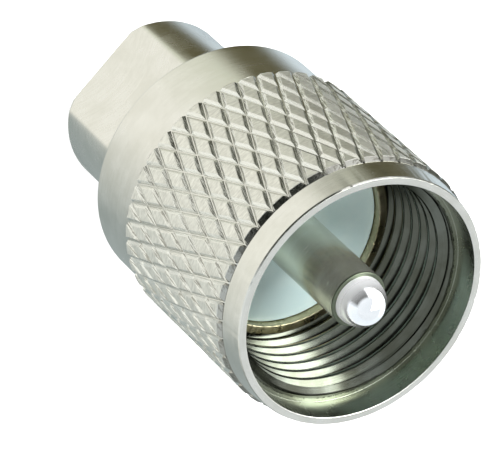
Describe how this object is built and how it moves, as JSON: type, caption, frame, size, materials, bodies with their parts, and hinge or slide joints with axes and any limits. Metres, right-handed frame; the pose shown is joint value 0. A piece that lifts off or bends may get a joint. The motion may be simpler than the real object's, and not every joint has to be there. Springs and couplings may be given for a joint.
{
  "type": "uhf connector",
  "caption": "Male UHF coaxial cable plug, clamp type: knurled coupling nut that spins and slides on a plug body, domed centre pin in a white insulator, clamp nut with spanner flats at the rear.",
  "frame": {"origin": "centre of the clamp nut's rear face, on which the plug stands", "axes": "+Z along the connector's axis, from the cable end to the pin; the clamp nut's flats face -Y and +Y"},
  "size_m": [0.0186, 0.0186, 0.0306],
  "materials": {
    "knurled_nickel": "bright nickel plate on knurled brass",
    "ring_bronze": "spring bronze, bare",
    "body_nickel": "nickel plate on turned brass",
    "insulator_white": "smooth white plastic",
    "pin_nickel": "polished nickel plate",
    "inner_brass": "turned brass",
    "gasket_rubber": "moulded rubber",
    "barrel_nickel": "bright nickel plate on turned brass"
  },
  "bodies": {
    "plug": {"plug_body": "body_nickel", "insulator": "insulator_white", "centre_contact": "pin_nickel", "braid_clamp": "inner_brass", "clamp_washer": "inner_brass", "gasket": "gasket_rubber", "clamp_nut": "barrel_nickel"},
    "ring": {"retaining_ring": "ring_bronze"},
    "coupling": {"coupling_nut": "knurled_nickel"}
  },
  "joints": [
    {"name": "nut_slide", "type": "slide", "parent": "plug", "child": "ring", "axis": [0, 0, 1], "range_m": [0, 0.0045]},
    {"name": "nut_spin", "type": "hinge", "parent": "ring", "child": "coupling", "pos_m": [0, 0, 0.0191], "axis": [0, 0, 1], "continuous": true}
  ]
}
